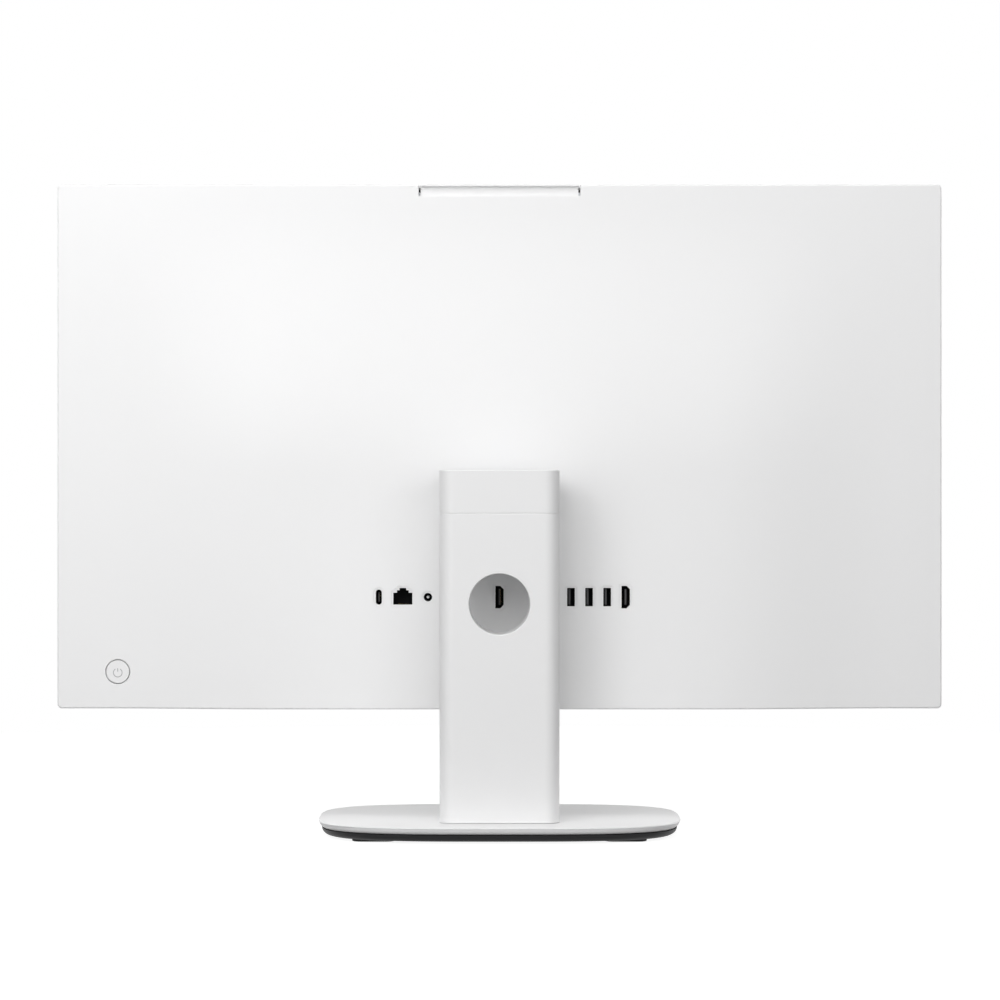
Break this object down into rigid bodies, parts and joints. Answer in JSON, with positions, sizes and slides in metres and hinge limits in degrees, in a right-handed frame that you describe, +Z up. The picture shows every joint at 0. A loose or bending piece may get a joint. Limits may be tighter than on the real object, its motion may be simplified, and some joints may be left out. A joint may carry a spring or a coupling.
{
  "type": "all-in-one desktop computer",
  "caption": "All-in-one desktop computer: a thin display with the computer inside, tilting on a pedestal stand with a cable hole, a pull-up camera and a power button.",
  "frame": {"origin": "on the desk, under the middle of the base", "axes": "+Z up, +Y out of the back of the computer where the sockets are, +X to the left of someone who faces the back"},
  "size_m": [0.613, 0.182, 0.4476],
  "materials": {
    "white_plastic": "matte white, fine texture",
    "black_paint": "black powder coat",
    "rubber": "matte black",
    "steel": "plated sheet steel",
    "nickel": "nickel plate",
    "black_plastic": "matte black",
    "copper": "bare copper",
    "aluminium": "die cast",
    "backlight": "light guide in a thin metal tray",
    "screen_glass": "dark, anti-glare",
    "circuit_board": "solder mask",
    "silicon": "polished die and package"
  },
  "bodies": {
    "stand": {"base_plate": "black_paint", "base_cover": "white_plastic", "foot_front_left": "rubber", "foot_front_right": "rubber", "foot_rear_left": "rubber", "foot_rear_right": "rubber", "clamp_screw": "steel", "column_rear_shell": "white_plastic", "column_front_shell": "white_plastic", "cable_sleeve": "white_plastic", "hinge_cap": "white_plastic", "column_core": "steel", "hinge_yoke": "steel", "hinge_shaft": "steel", "hinge_nut": "steel", "friction_washer_left": "nickel", "friction_washer_right": "nickel"},
    "display": {"tilt_arm": "aluminium", "stand_bracket": "steel", "arm_screw_1": "steel", "arm_screw_2": "steel", "arm_screw_3": "steel", "arm_screw_4": "steel", "front_bezel": "white_plastic", "display_panel": "screen_glass", "backlight_tray": "backlight", "chassis_plate": "steel", "rear_cover": "white_plastic", "usb_c_port": "nickel", "ethernet_jack": "black_plastic", "dc_inlet": "black_plastic", "hdmi_port_center": "nickel", "hdmi_port_side": "nickel", "usb_a_port_1": "nickel", "usb_a_port_2": "nickel", "usb_a_port_3": "nickel", "mainboard": "circuit_board", "memory_socket": "black_plastic", "memory_module_lower": "circuit_board", "memory_module_upper": "circuit_board", "storage_module": "circuit_board", "wireless_card": "circuit_board", "processor": "silicon", "cold_plate": "copper", "heat_sink": "aluminium", "heat_pipe": "copper", "fan_housing": "black_plastic", "fan_cover": "steel", "speaker_left": "black_plastic", "speaker_right": "black_plastic", "camera_rail_left": "black_plastic", "camera_rail_right": "black_plastic", "power_switch": "circuit_board"},
    "camera": {"camera_body": "white_plastic", "camera_window": "screen_glass"},
    "button": {"power_button": "white_plastic"},
    "fan": {"fan_rotor": "black_plastic"}
  },
  "joints": [
    {"name": "tilt", "type": "hinge", "parent": "stand", "child": "display", "pos_m": [0, 0.039, 0.2335], "axis": [-1, 0, 0], "range_deg": [-5, 20]},
    {"name": "camera_slide", "type": "slide", "parent": "display", "child": "camera", "axis": [0, 0, 1], "range_m": [0, 0.024]},
    {"name": "power_press", "type": "slide", "parent": "display", "child": "button", "axis": [0, -1, 0], "range_m": [0, 0.0012], "stiffness_N_per_m": 1500},
    {"name": "fan_spin", "type": "hinge", "parent": "display", "child": "fan", "pos_m": [0.146, -0.0217, 0.1625], "axis": [0, 1, 0], "continuous": true}
  ]
}
